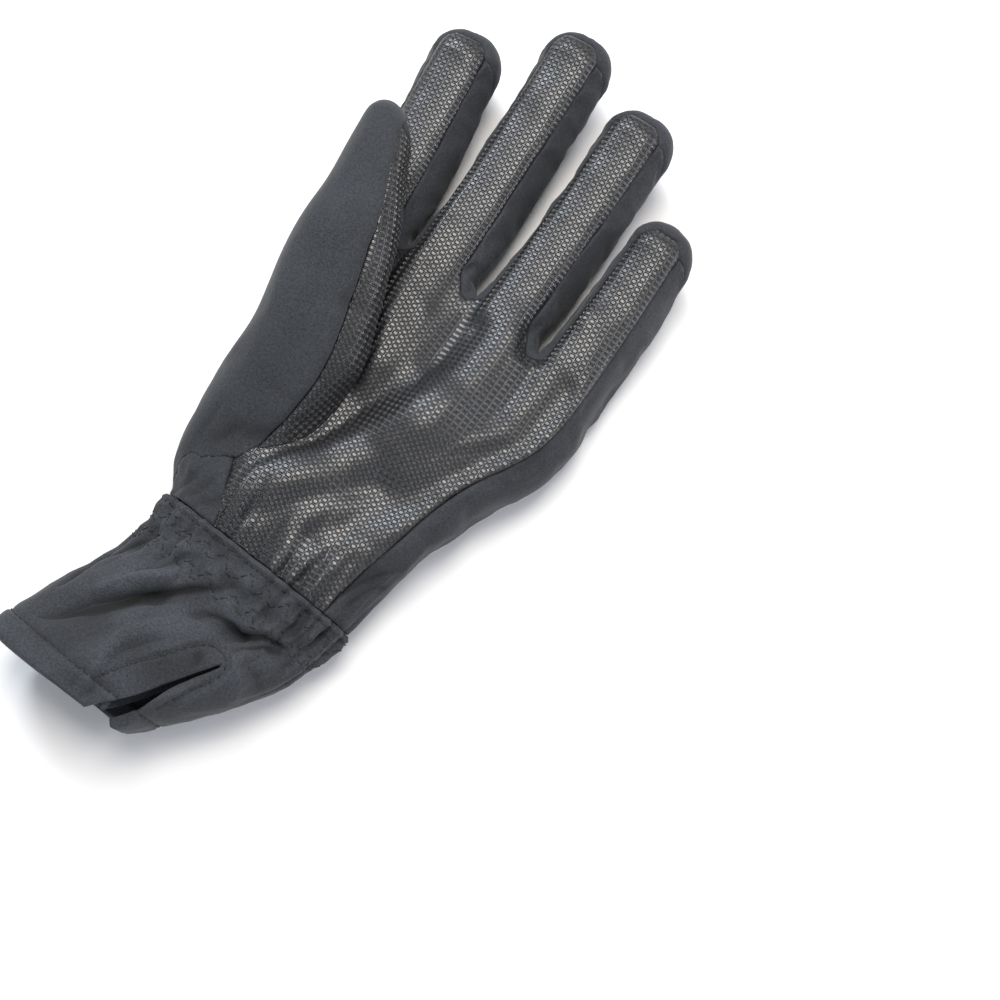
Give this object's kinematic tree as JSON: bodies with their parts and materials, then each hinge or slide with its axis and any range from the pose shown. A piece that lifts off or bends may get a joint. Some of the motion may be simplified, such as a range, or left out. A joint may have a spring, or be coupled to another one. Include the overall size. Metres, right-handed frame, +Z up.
{
  "type": "winter glove",
  "caption": "Left-hand winter glove: soft-shell back, embossed synthetic-leather palm, gathered elastic wrist and a flared vented cuff with a folded hem, lying palm up.",
  "frame": {"origin": "centre of the bounding box's footprint, on the surface that the back of the glove lies on", "axes": "+Z up, out of the palm; +Y from the cuff to the fingertips; +X towards the little finger, with the thumb at -X"},
  "size_m": [0.1288, 0.285, 0.0581],
  "materials": {
    "soft_shell": "matte, closely woven, charcoal black",
    "embossed_leather": "satin, embossed with a close grid of small rounded pips, black"
  },
  "bodies": {
    "root": {"palm_panel": "embossed_leather", "back_panel": "soft_shell", "index_side": "soft_shell", "little_side": "soft_shell", "fourchette_index_middle": "soft_shell", "fourchette_middle_ring": "soft_shell", "fourchette_ring_little": "soft_shell", "thumb_outer": "soft_shell", "thumb_palm": "embossed_leather", "wrist_gather": "soft_shell", "cuff": "soft_shell", "hem_band": "soft_shell", "cuff_gusset": "soft_shell"}
  },
  "joints": []
}
